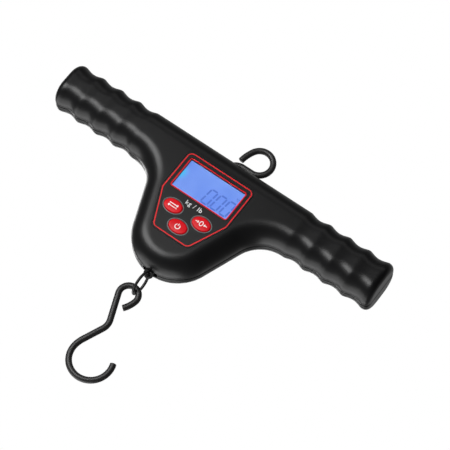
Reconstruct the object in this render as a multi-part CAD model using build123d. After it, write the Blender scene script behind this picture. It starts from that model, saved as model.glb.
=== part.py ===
from build123d import *
import math
import os

# Digital fish scale with a T handle. Millimetres.
# +Z is up the load line, +X runs along the handle, the display faces -Y.
# The origin is where the handle's axis crosses the load line.

# ---- housing ----
overall_length = 265.0  # handle, end to end
handle_height = 34.0  # over the crests of the finger grips
housing_depth = 32.0  # front face to back face
wall = 2.2
end_round = 4.6  # rounding of the handle's ends
finger_pitch = 15.9
finger_grooves = 4  # on each grip
groove_depth = 1.5
edge_round = 14.0  # front and back edges of the middle
chin_radius = 31.7
chin_drop = 80.0  # handle axis down to the lowest point of the body
flank_lean = 21.2  # degrees from upright
shoulder_radius = 24.0

# ---- face, display and buttons ----
panel_thick = 1.2
panel_half_top = 27.4
panel_half_bottom = 14.8
panel_top_z = 3.2
panel_waist_z = -29.6
panel_bottom_z = -57.2
panel_corner = 4.0
seat_gap = 0.1  # between a piece and the pocket that it sits in
lens_half = 23.7
lens_top_z = -0.6
lens_height = 25.4
lens_corner = 1.8
ledge = 1.0  # shell left under the edge of the lens
button_half_x = 7.1
button_half_z = 4.95
button_gap = 0.25
button_proud = 0.9
button_travel = 0.7
button_flange = 0.8
flange_thick = 1.0
side_button_x = 11.7
side_button_z = -37.2
power_button_z = -47.8

# ---- electronics ----
board_front = 7.0  # depth of the board's front face
board_thick = 1.6
solder_gap = 0.4  # end of a wire's centre above the board
board_half_top = 33.5
board_half_waist = 27.5
board_half_bottom = 13.0
board_top_z = 2.4
board_shoulder_z = -31.0
board_waist_z = -42.0
board_bottom_z = -56.0
boss_radius = 3.0
screw_radius = 1.25
screw_head_radius = 2.4
screw_head_thick = 1.6
board_boss_radius = 2.2
board_screw_radius = 0.9
board_screws = [(-30.5, -3.0), (30.5, -3.0), (-24.5, -38.0), (24.5, -38.0)]
end_screw_inset = 20.5  # from the ends of the handle
side_screws = [(-52.0, -4.0), (52.0, -4.0), (-15.0, -64.0), (15.0, -64.0)]
frame_wall = 1.4  # plastic frame round the display glass
glass_thick = 2.4
backlight_thick = 2.4
switch_size = 6.0
switch_height = 3.2
plunger_radius = 1.6
plunger_height = 0.25

# ---- load path ----
pin_radius = 2.5
pin_play = 0.08
pin_z = 8.0
pin_boss_wall = 2.5
hook_wire = 4.5
plate_thick = 1.2
plate_half = 6.0
cell_half_x = 6.0
cell_half_y = 4.0
cell_top_z = -3.5
cell_length = 50.5
cell_bore = 4.0
bore_spacing = 12.0
clamp_length = 12.0  # of the cell held at each end
cell_screw_radius = 1.5
cell_screw_pitch = 5.0
eye_thick = 3.0
eye_half = 3.4
eye_hole_radius = 1.3
eye_reach = 1.2  # hole centre below the chin
slot_half_x = 5.6
slot_half_y = 3.0

# ---- hooks ----
ring_wire = 2.0
ring_radius = 8.5  # wire centreline
contact_gap = 0.05
hook_eye_radius = 6.8
hook_eye_x = -1.5  # eye centre, to the left of the ring
hook_tail_radius = 20.0
bowl_radius = 14.9
bowl_x = 6.5
bowl_drop = 50.3  # bowl centre below the eye centre
bowl_lead_radius = 22.0  # wire between the shank and the bowl
shank_radius = 10.0
shank_x = 0.3  # right-hand side of the bend in the shank
shank_drop = 24.9  # its centre below the eye centre
loop_radius = 9.4
loop_x = 11.7
loop_tail_radius = 28.0
loop_rise = 0.35  # wire clear above the handle
bend_radius = 9.0
bend_x = 4.5
top_hook_swing = 45.0  # degrees, from lying on the handle to the far edge of its slot
swing_gap = 0.65  # slot beyond the wire at each end of its swing
top_slot_side = 0.55  # slot beyond the wire at the front and back

# ---- batteries ----
battery_radius = 5.25
battery_length = 44.5
nub_length = 1.0
nub_radius = 1.9
cell_side_gap = 0.8  # load cell to the walls of the bays
battery_back_gap = 0.75  # battery to the door
bay_gap = 0.25
bay_wall = 1.1
bay_top_z = -7.4
contact_thick = 0.5
spring_room = 2.4
spring_radius = 3.2
spring_wire = 0.5
door_thick = 1.6
door_rim = 1.2  # door beyond the bay's walls

# ---- worked out from the above ----
half_length = overall_length / 2
half_height = handle_height / 2
half_depth = housing_depth / 2
grip_start = half_length - end_round - finger_grooves * finger_pitch
inner_y = half_depth - wall
chin_centre = -chin_drop + chin_radius
lean = math.radians(flank_lean)
flank_normal = (math.cos(lean), -math.sin(lean))
shoulder_z = -half_height - shoulder_radius
shoulder_x = (
    chin_radius + shoulder_radius - (shoulder_z - chin_centre) * flank_normal[1]
) / flank_normal[0]
housing_screws = [(end_screw_inset - half_length, 0.0), (half_length - end_screw_inset, 0.0)]
housing_screws += side_screws
panel_back = half_depth - panel_thick
lens_centre_z = lens_top_z - lens_height / 2
board_back = board_front - board_thick
wire_radius = hook_wire / 2
pin_eye_radius = pin_radius + pin_play + wire_radius
eye_hole_z = -chin_drop - eye_reach
ring_bore = ring_radius - ring_wire / 2
ring_sag = ring_bore - math.sqrt(ring_bore**2 - (eye_thick / 2) ** 2)  # over the eye's thickness
ring_top_z = eye_hole_z - eye_hole_radius + ring_wire / 2 + ring_sag + contact_gap
ring_centre_z = ring_top_z - ring_radius
ring_bottom_z = ring_centre_z - ring_radius
eye_hang = hook_eye_radius - wire_radius - ring_wire / 2 - contact_gap  # eye to ring wire
hook_eye_z = ring_bottom_z - math.sqrt(eye_hang**2 - hook_eye_x**2)
loop_z = half_height + loop_rise + wire_radius + loop_radius
bend_z = loop_z - loop_radius - bend_radius
swing = math.radians(top_hook_swing)
swung_bend_x = bend_x * math.cos(swing) - (bend_z - pin_z) * math.sin(swing)
top_slot_left = bend_radius + wire_radius + swing_gap - swung_bend_x
bend_crossing = math.sqrt((bend_radius - wire_radius) ** 2 - (half_height - bend_z) ** 2)
eye_outer = pin_eye_radius + wire_radius
eye_crossing = math.sqrt(max(eye_outer**2 - (half_height - wall - pin_z) ** 2, 0))
top_slot_right = max(bend_x - bend_crossing, eye_crossing) + swing_gap
cell_bottom_z = cell_top_z - cell_length
cell_mid_z = (cell_top_z + cell_bottom_z) / 2
battery_x = cell_half_x + cell_side_gap + bay_wall + bay_gap + battery_radius
battery_y = half_depth - door_thick - battery_back_gap - battery_radius
bay_bottom_z = bay_top_z - 2 * contact_thick - battery_length - spring_room
bay_half = battery_radius + bay_gap
bay_front = battery_y - battery_radius - bay_gap
door_back = half_depth - door_thick
door_half = battery_x + bay_half + bay_wall + door_rim
door_top_z = bay_top_z + bay_wall + door_rim
door_bottom_z = bay_bottom_z - bay_wall - door_rim


def block(x0, x1, y0, y1, z0, z1):
    """A box between two corners."""
    size = Box(abs(x1 - x0), abs(y1 - y0), abs(z1 - z0))
    return Pos((x0 + x1) / 2, (y0 + y1) / 2, (z0 + z1) / 2) * size


def rod(x, z, radius, y0, y1):
    """A round bar along Y."""
    turned = Rot(90, 0, 0) * Cylinder(radius, abs(y1 - y0))
    return Pos(x, (y0 + y1) / 2, z) * turned


def slab(face, y0, y1):
    """A face drawn in X and Z, made solid between two depths."""
    return extrude(Plane.XZ.offset(-y0) * face, -(y1 - y0))


def group(pieces):
    return Compound(children=list(pieces))


def mirrored(points):
    """Points down the right side, then back up the left."""
    return points + [(-x, z) for x, z in reversed(points)]


def middle_face(inset):
    """Outline of the middle: bar, shoulders and round chin, drawn in by inset."""
    nx, nz = flank_normal
    low = -half_height + inset
    hollow = shoulder_radius + inset
    chin = chin_radius - inset
    bend = math.radians((90 + 180 - flank_lean) / 2)
    foot = (nx * chin, chin_centre + nz * chin)
    neck = (shoulder_x - nx * hollow, shoulder_z - nz * hollow)
    crook = (
        shoulder_x + hollow * math.cos(bend),
        shoulder_z + hollow * math.sin(bend),
    )
    with BuildSketch() as sketch:
        with BuildLine():
            Line((-grip_start, half_height - inset), (grip_start, half_height - inset))
            for side in (1, -1):
                Line((side * grip_start, half_height - inset), (side * grip_start, low))
                Line((side * grip_start, low), (side * shoulder_x, low))
                ThreePointArc(
                    (side * shoulder_x, low),
                    (side * crook[0], crook[1]),
                    (side * neck[0], neck[1]),
                )
                Line((side * neck[0], neck[1]), (side * foot[0], foot[1]))
            ThreePointArc(foot, (0, chin_centre - chin), (-foot[0], foot[1]))
        make_face()
    return sketch.sketch


def middle(inset):
    """The middle as a solid with rounded front and back edges."""
    reach = half_depth - inset
    solid = slab(middle_face(inset), -reach, reach)
    rims = [
        edge
        for edge in solid.edges()
        if abs(abs(edge.center().Y) - reach) < 0.01
        and abs(edge.center().X) < grip_start - 0.01
    ]
    return fillet(rims, edge_round - inset)


def grip():
    """Right grip: finger grooves turned about the handle's axis, flat front and back."""
    swing = groove_depth / 2
    mean = half_height - swing
    quarter = finger_pitch / 4
    last = grip_start + finger_grooves * finger_pitch
    # first quarter wave, part of an arc with the same radius as the others
    arc_radius = (quarter**2 + swing**2) / (2 * swing)
    half_turn = math.asin(quarter / arc_radius) / 2
    dip = arc_radius * (1 - math.cos(half_turn))
    run = arc_radius * math.sin(half_turn)
    with BuildSketch() as sketch:
        with BuildLine():
            Line((grip_start, 0), (grip_start, half_height))
            ThreePointArc(
                (grip_start, half_height),
                (grip_start + run, half_height - dip),
                (grip_start + quarter, mean),
            )
            for wave in range(2 * finger_grooves - 1):
                start = grip_start + quarter + wave * 2 * quarter
                peak = mean + (swing if wave % 2 else -swing)
                ThreePointArc(
                    (start, mean), (start + quarter, peak), (start + 2 * quarter, mean)
                )
            ThreePointArc(
                (last - quarter, mean),
                (last - run, half_height - dip),
                (last, half_height),
            )
            RadiusArc((last, half_height), (half_length, half_height - end_round), end_round)
            Line((half_length, half_height - end_round), (half_length, 0))
            Line((half_length, 0), (grip_start, 0))
        make_face()
    turned = revolve(sketch.sketch, Axis.X)
    return turned & block(0, half_length, -half_depth, half_depth, -half_height, half_height)


def envelope():
    """Outer shape of the closed housing."""
    right = grip()
    return middle(0) + right + mirror(right, Plane.YZ)


def hollow():
    """Space inside the housing."""
    bore = half_height - groove_depth - wall
    tunnel = Rot(0, 90, 0) * Cylinder(bore, overall_length - 2 * wall)
    return middle(wall) + tunnel


def oval(half_x, half_z):
    return Ellipse(half_x, half_z)


def panel_face(grow=0.0):
    """Outline of the face panel, a shield with rounded corners."""
    corners = mirrored(
        [
            (panel_half_top + grow, panel_top_z + grow),
            (panel_half_top + grow, panel_waist_z),
            (panel_half_bottom + grow, panel_bottom_z - grow),
        ]
    )
    outline = make_face(Polyline(*corners, close=True))
    return fillet(outline.vertices(), panel_corner)


def lens_face(grow=0.0):
    shape = RectangleRounded(
        2 * (lens_half + grow), lens_height + 2 * grow, lens_corner + grow
    )
    return Pos(0, lens_centre_z) * shape


def button_places():
    return {
        "unit_button": (-side_button_x, side_button_z),
        "tare_button": (side_button_x, side_button_z),
        "power_button": (0, power_button_z),
    }


def top_slot():
    side = wire_radius + top_slot_side
    return block(-top_slot_left, top_slot_right, -side, side, half_height / 2, half_height + 1)


def bottom_slot():
    return block(-slot_half_x, slot_half_x, -slot_half_y, slot_half_y,
                 -chin_drop - 1, -chin_drop + 2 * wall)


def shell_half(side):
    """One half of the housing's wall, side -1 for the front and 1 for the rear."""
    keep = block(-half_length, half_length, 0, side * half_depth, -chin_drop, half_height)
    inside = hollow()
    half = (envelope() - inside - top_slot() - bottom_slot()) & keep
    for x, z in housing_screws:
        half += rod(x, z, boss_radius, 0, side * half_depth) & inside
    gap = cell_half_y + plate_thick + 0.5
    half += rod(0, pin_z, pin_radius + pin_boss_wall, side * gap, side * half_depth) & inside
    return half - rod(0, pin_z, pin_radius, 0, side * (inner_y - 0.5))


def front_shell():
    shell = shell_half(-1)
    inside = hollow()
    for x, z in board_screws:
        shell += rod(x, z, board_boss_radius, -half_depth, -board_front) & inside
        shell -= rod(x, z, board_screw_radius, -inner_y, -board_front)
    shell -= slab(panel_face(seat_gap), -half_depth, -panel_back)
    shell -= slab(lens_face(-ledge), -half_depth, -inner_y)
    for x, z in button_places().values():
        hole = oval(button_half_x + button_gap, button_half_z + button_gap)
        shell -= slab(Pos(x, z) * hole, -half_depth, -inner_y)
    for x, z in housing_screws:
        shell -= rod(x, z, screw_radius, -board_front, 0)
    return shell


def rear_shell():
    shell = shell_half(1)
    edge = battery_x + bay_half + bay_wall
    floor = block(-edge, edge, door_back - bay_wall, door_back,
                  bay_bottom_z - bay_wall, bay_top_z + bay_wall)
    shell += floor
    for side in (1, -1):
        inner = side * (battery_x - bay_half - bay_wall)
        shell += block(inner, side * edge, bay_front - bay_wall, door_back,
                       bay_bottom_z - bay_wall, bay_top_z + bay_wall)
    shell -= block(-door_half - seat_gap, door_half + seat_gap, door_back, half_depth,
                   door_bottom_z - seat_gap, door_top_z + seat_gap)
    for side in (1, -1):
        shell -= block(side * (battery_x - bay_half), side * (battery_x + bay_half),
                       bay_front, door_back, bay_bottom_z, bay_top_z)
        shell -= rod(side * battery_x, bay_top_z - contact_thick / 2, 0.5,
                     bay_front - bay_wall, bay_front)
    shell -= bridge_strip(0.05)
    for x, z in housing_screws:
        shell -= rod(x, z, screw_radius, 0, half_depth)
        shell -= rod(x, z, screw_head_radius + 0.3, screw_seat(), half_depth)
    return shell


def screw_seat():
    """Depth at which the heads of the housing screws sit."""
    return half_depth - board_front


def face_panel():
    panel = slab(panel_face(), -half_depth, -panel_back)
    panel -= slab(lens_face(seat_gap), -half_depth, -panel_back)
    for x, z in button_places().values():
        hole = oval(button_half_x + button_gap, button_half_z + button_gap)
        panel -= slab(Pos(x, z) * hole, -half_depth, -panel_back)
    return panel


def display_lens():
    return slab(lens_face(), -half_depth, -panel_back)


def button(x, z):
    """Oval cap with a flange behind the wall and a stem that meets the switch."""
    flange_front = -inner_y + 0.3
    tip = board_front + switch_height + plunger_height + button_travel + 0.1
    cap = slab(oval(button_half_x, button_half_z), -half_depth - button_proud, flange_front)
    crown = cap.faces().sort_by(Axis.Y)[0].edges()
    cap = fillet(crown, button_proud - 0.1)
    flange = slab(
        oval(button_half_x + button_flange, button_half_z + button_flange),
        flange_front,
        flange_front + flange_thick,
    )
    stem = rod(0, 0, plunger_radius, flange_front + flange_thick, -tip)
    return Pos(x, 0, z) * (cap + flange + stem)


def frame_span(inset):
    """Half width, top and bottom of the display frame, drawn in by inset."""
    side = lens_half + 2 * frame_wall - inset
    top = lens_top_z + 2 * frame_wall - inset
    bottom = lens_top_z - lens_height - 2 * frame_wall + inset
    return side, top, bottom


def lcd_frame():
    side, top, bottom = frame_span(0)
    front = -inner_y + seat_gap
    frame = block(-side, side, front, -board_front, bottom, top)
    side, top, bottom = frame_span(frame_wall)
    frame -= block(-side, side, front + frame_wall / 2, -board_front, bottom, top)
    side, top, bottom = frame_span(2 * frame_wall + ledge)
    return frame - block(-side, side, front, -board_front, bottom, top)


def glass_front():
    return -inner_y + 2 * seat_gap + frame_wall / 2


def lcd_glass():
    side, top, bottom = frame_span(frame_wall + seat_gap)
    return block(-side, side, glass_front(), glass_front() + glass_thick, bottom, top)


def backlight_panel():
    side, top, bottom = frame_span(2 * frame_wall)
    front = glass_front() + glass_thick + seat_gap
    back = min(front + backlight_thick, -board_front - seat_gap)
    return block(-side, side, front, back, bottom + frame_wall, top)


def lcd_connector():
    """Elastomer strip that joins the glass to the board."""
    side, _, bottom = frame_span(2 * frame_wall)
    front = glass_front() + glass_thick
    return block(-side, side, front, -board_front, bottom - frame_wall + 2 * seat_gap,
                 bottom + frame_wall / 2)


def main_board():
    corners = mirrored(
        [
            (board_half_top, board_top_z),
            (board_half_top, board_shoulder_z),
            (board_half_waist, board_waist_z),
            (board_half_bottom, board_bottom_z),
        ]
    )
    board = slab(make_face(Polyline(*corners, close=True)), -board_front, -board_back)
    for x, z in board_screws:
        board -= rod(x, z, board_screw_radius, -board_front, -board_back)
    return board


def tact_switches():
    half = switch_size / 2
    pieces = []
    for x, z in button_places().values():
        base = block(x - half, x + half, -board_front - switch_height, -board_front,
                     z - half, z + half)
        top = -board_front - switch_height
        pieces.append(base + rod(x, z, plunger_radius, top - plunger_height, top))
    return group(pieces)


def board_chips():
    """Controller, converter and their small parts on the back of the board."""
    chips = [(-16, -18, 4.5, 4.5), (16, -18, 3.5, 2.5), (16, -27, 2.2, 1.6), (-16, -28, 1.6, 3.2)]
    return group(
        block(x - a, x + a, -board_back, -board_back + board_thick * 0.7, z - b, z + b)
        for x, z, a, b in chips
    )


def board_screw(x, z):
    head = rod(x, z, 2 * board_screw_radius, -board_back, -board_back + board_thick)
    return head + rod(x, z, board_screw_radius, -inner_y, -board_back)


def housing_screw(x, z):
    seat = screw_seat()
    head = rod(x, z, screw_head_radius, seat, seat + screw_head_thick)
    head -= block(x - 1.6, x + 1.6, seat + 0.8, seat + screw_head_thick, z - 0.3, z + 0.3)
    head -= block(x - 0.3, x + 0.3, seat + 0.8, seat + screw_head_thick, z - 1.6, z + 1.6)
    return head + rod(x, z, screw_radius, -board_front, seat)


def cell_screw_heights(end_z, direction):
    first = end_z + direction * (clamp_length - cell_screw_pitch) / 2
    return [first, first + direction * cell_screw_pitch]


def upper_screw_heights():
    return cell_screw_heights(cell_top_z, -1)


def lower_screw_heights():
    return cell_screw_heights(cell_bottom_z, 1)


def load_cell():
    """Alloy bar with the double bore that makes it bend in a known way."""
    cell = block(-cell_half_x, cell_half_x, -cell_half_y, cell_half_y,
                 cell_bottom_z, cell_top_z)
    for z in (cell_mid_z - bore_spacing / 2, cell_mid_z + bore_spacing / 2):
        cell -= rod(0, z, cell_bore, -cell_half_y, cell_half_y)
    cell -= block(-cell_bore / 2, cell_bore / 2, -cell_half_y, cell_half_y,
                  cell_mid_z - bore_spacing / 2, cell_mid_z + bore_spacing / 2)
    cell -= block(-cell_half_x, cell_half_x, -eye_thick / 2 - contact_gap,
                  eye_thick / 2 + contact_gap, cell_bottom_z, cell_bottom_z + clamp_length)
    for z in upper_screw_heights() + lower_screw_heights():
        cell -= rod(0, z, cell_screw_radius, -cell_half_y, cell_half_y)
    return cell


def strain_gauges():
    pieces = []
    for side in (1, -1):
        for z in (cell_mid_z - bore_spacing / 2, cell_mid_z + bore_spacing / 2):
            pieces.append(block(side * cell_half_x, side * (cell_half_x + 0.25), -1.6, 1.6,
                                z - 2.6, z + 2.6))
    return group(pieces)


def hanger_plate(side):
    """Steel side plate between the cross pin and the top of the cell."""
    y0 = side * cell_half_y
    y1 = side * (cell_half_y + plate_thick)
    plate = rod(0, pin_z, plate_half, y0, y1)
    plate += block(-plate_half, plate_half, y0, y1, cell_top_z - clamp_length, pin_z)
    plate -= rod(0, pin_z, pin_radius, y0, y1)
    for z in upper_screw_heights():
        plate -= rod(0, z, cell_screw_radius, y0, y1)
    return plate


def cross_pin():
    return rod(0, pin_z, pin_radius, -inner_y + 0.5, inner_y - 0.5)


def pin_spacer(side):
    outer = wire_radius + 0.15
    ring = rod(0, pin_z, pin_radius + 1.6, side * outer, side * cell_half_y)
    return ring - rod(0, pin_z, pin_radius, side * outer, side * cell_half_y)


def cell_screw(z, seat, tip):
    head = rod(0, z, 1.8 * cell_screw_radius, seat, seat + cell_screw_radius)
    head -= rod(0, z, cell_screw_radius * 0.8, seat + cell_screw_radius / 2,
                seat + cell_screw_radius)
    return head + rod(0, z, cell_screw_radius, tip, seat)


def upper_cell_screws():
    seat = cell_half_y + plate_thick
    return group(cell_screw(z, seat, -seat) for z in upper_screw_heights())


def lower_cell_screws():
    return group(cell_screw(z, cell_half_y, -cell_half_y) for z in lower_screw_heights())


def load_eye():
    """Steel strip from the foot of the cell out through the chin, with a hole for the ring."""
    half = eye_thick / 2
    strip = block(-eye_half, eye_half, -half, half, eye_hole_z, cell_bottom_z + clamp_length)
    strip += rod(0, eye_hole_z, eye_half, -half, half)
    strip -= rod(0, eye_hole_z, eye_hole_radius, -half, half)
    for z in lower_screw_heights():
        strip -= rod(0, z, cell_screw_radius, -half, half)
    return strip


def link_ring():
    return Pos(0, 0, ring_centre_z) * Rot(0, 90, 0) * Torus(ring_radius, ring_wire / 2)


def on_circle(x, z, radius, angle):
    return Vector(x + radius * math.cos(angle), 0, z + radius * math.sin(angle))


def bent_wire(circles, start_deg, end_deg, gauge):
    """Round wire that turns about each circle in order, straight between them.

    A circle is (x, z, radius, turn). Turn is 1 to the left and -1 to the right, with X to the
    right and Z up. The angles are where the wire starts on the first circle and ends on the last.
    """
    tangents = []
    for (x1, z1, r1, t1), (x2, z2, r2, t2) in zip(circles, circles[1:]):
        gap = math.hypot(x2 - x1, z2 - z1)
        heading = math.atan2(z2 - z1, x2 - x1) - math.asin((t2 * r2 - t1 * r1) / gap)
        tangents.append(heading)
    begin = [math.radians(start_deg)]
    finish = []
    for place, heading in enumerate(tangents):
        finish.append(heading - circles[place][3] * math.pi / 2)
        begin.append(heading - circles[place + 1][3] * math.pi / 2)
    finish.append(math.radians(end_deg))
    edges = []
    for (x, z, radius, turn), a0, a1 in zip(circles, begin, finish):
        sweep_angle = (turn * (a1 - a0)) % (2 * math.pi)
        start = on_circle(x, z, radius, a0)
        halfway = on_circle(x, z, radius, a0 + turn * sweep_angle / 2)
        end = on_circle(x, z, radius, a0 + turn * sweep_angle)
        if edges:
            edges.append(Line(edges[-1] @ 1, start))
        edges.append(ThreePointArc(start, halfway, end))
    path = Wire(edges)
    section = Plane(origin=path @ 0, z_dir=path % 0) * Circle(gauge / 2)
    return sweep(section, path=path)


def easing(circle, radius, angle_deg, slack=0.02):
    """Wider circle round a tighter one, all but touching it at this angle."""
    x, z, tight, turn = circle
    reach = radius - tight + slack
    angle = math.radians(angle_deg)
    return (x - reach * math.cos(angle), z - reach * math.sin(angle), radius, turn)


def s_hook():
    """Nearly closed eye at the top, open bowl at the bottom."""
    eye = (hook_eye_x, hook_eye_z, hook_eye_radius, 1)
    bend = (shank_x - shank_radius, hook_eye_z - shank_drop, shank_radius, -1)
    bowl = (bowl_x, hook_eye_z - bowl_drop, bowl_radius, 1)
    tail = easing(eye, hook_tail_radius, -12)
    lead = easing(bowl, bowl_lead_radius, 172)
    return bent_wire([tail, eye, bend, lead, bowl], -39, 22, hook_wire)


def top_hook():
    """Small eye round the cross pin, then a bend that lays the open loop on the handle."""
    eye = (0, pin_z, pin_eye_radius, -1)
    bend = (bend_x, bend_z, bend_radius, -1)
    loop = (loop_x, loop_z, loop_radius, 1)
    tail = easing(loop, loop_tail_radius, 152)
    return bent_wire([eye, bend, loop, tail], -20, 174, hook_wire)


def battery(side, nub_up):
    """One cell of the batteries, standing in its bay."""
    top = bay_top_z - contact_thick - (0 if nub_up else spring_room)
    foot = top - battery_length
    body_top = top - (nub_length if nub_up else 0)
    body_foot = foot + (0 if nub_up else nub_length)
    x = side * battery_x
    body = Pos(x, battery_y, (body_top + body_foot) / 2) * Cylinder(
        battery_radius, body_top - body_foot
    )
    nub_z = top - nub_length / 2 if nub_up else foot + nub_length / 2
    return body + Pos(x, battery_y, nub_z) * Cylinder(nub_radius, nub_length)


def battery_spring(side, at_top):
    """Small coil that presses on the flat end of a battery."""
    low = bay_bottom_z + contact_thick
    if at_top:
        low = bay_top_z - contact_thick - spring_room
    rise = spring_room - spring_wire - 0.1
    coil = Helix(pitch=rise / 3, height=rise, radius=spring_radius)
    section = Plane(origin=coil @ 0, z_dir=coil % 0) * Circle(spring_wire / 2)
    shape = sweep(section, path=coil, is_frenet=True)
    return Pos(side * battery_x, battery_y, low + spring_wire / 2 + 0.05) * shape


def bridge_strip(grow=0.0):
    """Strip that joins the two batteries at the foot of the bays."""
    edge = battery_x + bay_half - 2 * bay_gap
    front = max(bay_front + 2 * bay_gap, eye_thick / 2 + 1)  # clear of the load eye
    return block(-edge - grow, edge + grow, front, door_back - 1.2,
                 bay_bottom_z, bay_bottom_z + contact_thick + grow)


def battery_contacts():
    half = bay_half - 2 * bay_gap
    pads = [
        block(x - half, x + half, bay_front, door_back - 1.2,
              bay_top_z - contact_thick, bay_top_z)
        for x in (-battery_x, battery_x)
    ]
    return group(pads + [bridge_strip()])


def battery_door():
    """Back cover over both bays, its outside following the housing."""
    plate = block(-door_half, door_half, door_back + seat_gap, half_depth,
                  door_bottom_z, door_top_z)
    door = plate & middle(0)
    thumb = block(-7, 7, half_depth - 0.6, half_depth, door_top_z - 5.5, door_top_z - 4)
    ribs = [Pos(0, 0, -3 * row) * thumb for row in range(3)]
    return door - ribs


def lead(points, radius, gauge):
    path = FilletPolyline(*points, radius=radius)
    section = Plane(origin=path @ 0, z_dir=path % 0) * Circle(gauge / 2)
    return sweep(section, path=path)


def cell_wires():
    """Gauge wires, one from each gauge to the back of the board."""
    wires = []
    for side in (1, -1):
        for z in (cell_mid_z - bore_spacing / 2, cell_mid_z + bore_spacing / 2):
            start = cell_half_x + 0.25
            wires.append(lead([(side * start, -1.2, z), (side * (start + 2.4), -1.2, z),
                               (side * (start + 4.2), -board_back + solder_gap, z)], 1.4, 0.7))
    return group(wires)


def battery_wires():
    """Supply wires from the two top contacts to the back of the board."""
    z = bay_top_z - contact_thick / 2
    return group(
        lead([(side * battery_x, bay_front, z), (side * battery_x, bay_front - 4, z),
              (side * (battery_x + 3), -board_back + solder_gap, z - 2)], 2.5, 0.9)
        for side in (1, -1)
    )


def build_all():
    nodes = {
        "front_shell": front_shell(),
        "rear_shell": rear_shell(),
        "face_panel": face_panel(),
        "display_lens": display_lens(),
        "lcd_glass": lcd_glass(),
        "lcd_frame": lcd_frame(),
        "backlight_panel": backlight_panel(),
        "lcd_connector": lcd_connector(),
        "main_board": main_board(),
        "tact_switches": tact_switches(),
        "board_chips": board_chips(),
        "board_screws": group(board_screw(x, z) for x, z in board_screws),
        "housing_screws": group(housing_screw(x, z) for x, z in housing_screws),
        "load_cell": load_cell(),
        "strain_gauges": strain_gauges(),
        "hanger_plates": group(hanger_plate(side) for side in (1, -1)),
        "cross_pin": cross_pin(),
        "pin_spacers": group(pin_spacer(side) for side in (1, -1)),
        "upper_cell_screws": upper_cell_screws(),
        "lower_cell_screws": lower_cell_screws(),
        "load_eye": load_eye(),
        "link_ring": link_ring(),
        "s_hook": s_hook(),
        "top_hook": top_hook(),
        "batteries": group([battery(-1, True), battery(1, False)]),
        "battery_springs": group([battery_spring(-1, False), battery_spring(1, True)]),
        "battery_contacts": battery_contacts(),
        "battery_door": battery_door(),
        "cell_wires": cell_wires(),
        "battery_wires": battery_wires(),
    }
    for name, (x, z) in button_places().items():
        nodes[name] = button(x, z)
    return nodes


os.makedirs("parts", exist_ok=True)
for name, shape in build_all().items():
    export_step(shape, f"parts/{name}.step")
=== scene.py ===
import math
import bmesh
import bpy
import numpy as np
from mathutils import Matrix, Vector


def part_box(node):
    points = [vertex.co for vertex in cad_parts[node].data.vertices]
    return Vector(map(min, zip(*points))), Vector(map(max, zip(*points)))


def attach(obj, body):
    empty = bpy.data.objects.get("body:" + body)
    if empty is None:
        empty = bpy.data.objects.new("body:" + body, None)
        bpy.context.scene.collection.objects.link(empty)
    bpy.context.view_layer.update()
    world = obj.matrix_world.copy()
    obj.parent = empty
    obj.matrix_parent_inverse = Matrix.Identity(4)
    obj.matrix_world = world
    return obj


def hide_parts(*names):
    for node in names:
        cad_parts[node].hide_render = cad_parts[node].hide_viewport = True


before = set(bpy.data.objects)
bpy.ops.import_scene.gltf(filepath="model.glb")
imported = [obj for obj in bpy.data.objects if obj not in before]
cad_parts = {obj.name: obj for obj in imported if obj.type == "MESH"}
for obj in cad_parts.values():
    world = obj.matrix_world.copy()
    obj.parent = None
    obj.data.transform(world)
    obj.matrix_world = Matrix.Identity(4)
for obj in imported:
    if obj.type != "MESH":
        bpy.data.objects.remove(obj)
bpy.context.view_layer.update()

# Sizes are in millimetres in this script's own work, and MM turns them into the frame's metres.
MM = 0.001


def box_mm(node):
    """Lowest and highest corner of a CAD node, in millimetres."""
    low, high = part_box(node)
    return [c / MM for c in low], [c / MM for c in high]


SHELL_LOW, SHELL_HIGH = box_mm("front_shell")
HALF_LENGTH = SHELL_HIGH[0]
HALF_HEIGHT = SHELL_HIGH[2]
HALF_DEPTH = -SHELL_LOW[1]
CHIN_DROP = -SHELL_LOW[2]
WALL = 2.2
EDGE_ROUND = 13.0
END_ROUND = 4.6
GROOVE_PITCH = 15.9
GROOVE_COUNT = 4
GROOVE_DEPTH = 1.5
CREST_SOFTNESS = 0.3  # 0 gives knife edges between the grooves
FACE_GROOVE = 0.33  # share of the grooves' depth at the front and back
GRIP_START = HALF_LENGTH - END_ROUND - GROOVE_COUNT * GROOVE_PITCH
CHIN_RADIUS = 31.7
CHIN_CENTRE = CHIN_RADIUS - CHIN_DROP
FLANK_LEAN = math.radians(21.2)
FLANK = (math.cos(FLANK_LEAN), -math.sin(FLANK_LEAN))
SHOULDER_RADIUS = 24.0
SHOULDER_Z = -HALF_HEIGHT - SHOULDER_RADIUS
SHOULDER_X = (
    CHIN_RADIUS + SHOULDER_RADIUS - (SHOULDER_Z - CHIN_CENTRE) * FLANK[1]
) / FLANK[0]
SEAM_GAP = 0.18  # each shell stops this far from the parting plane
SEAM_LIP = 0.7  # rounding of the shells' rims there
SKIN_PITCH = 1.2  # spacing of the grid that the shells' skins are drawn on
SKIN_DEPTH_PITCH = 1.0
SEAM_ROWS = (-0.4, 0.0, 0.25, 0.45, 0.75, 1.15)  # closer grid depths beside the parting plane

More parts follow.
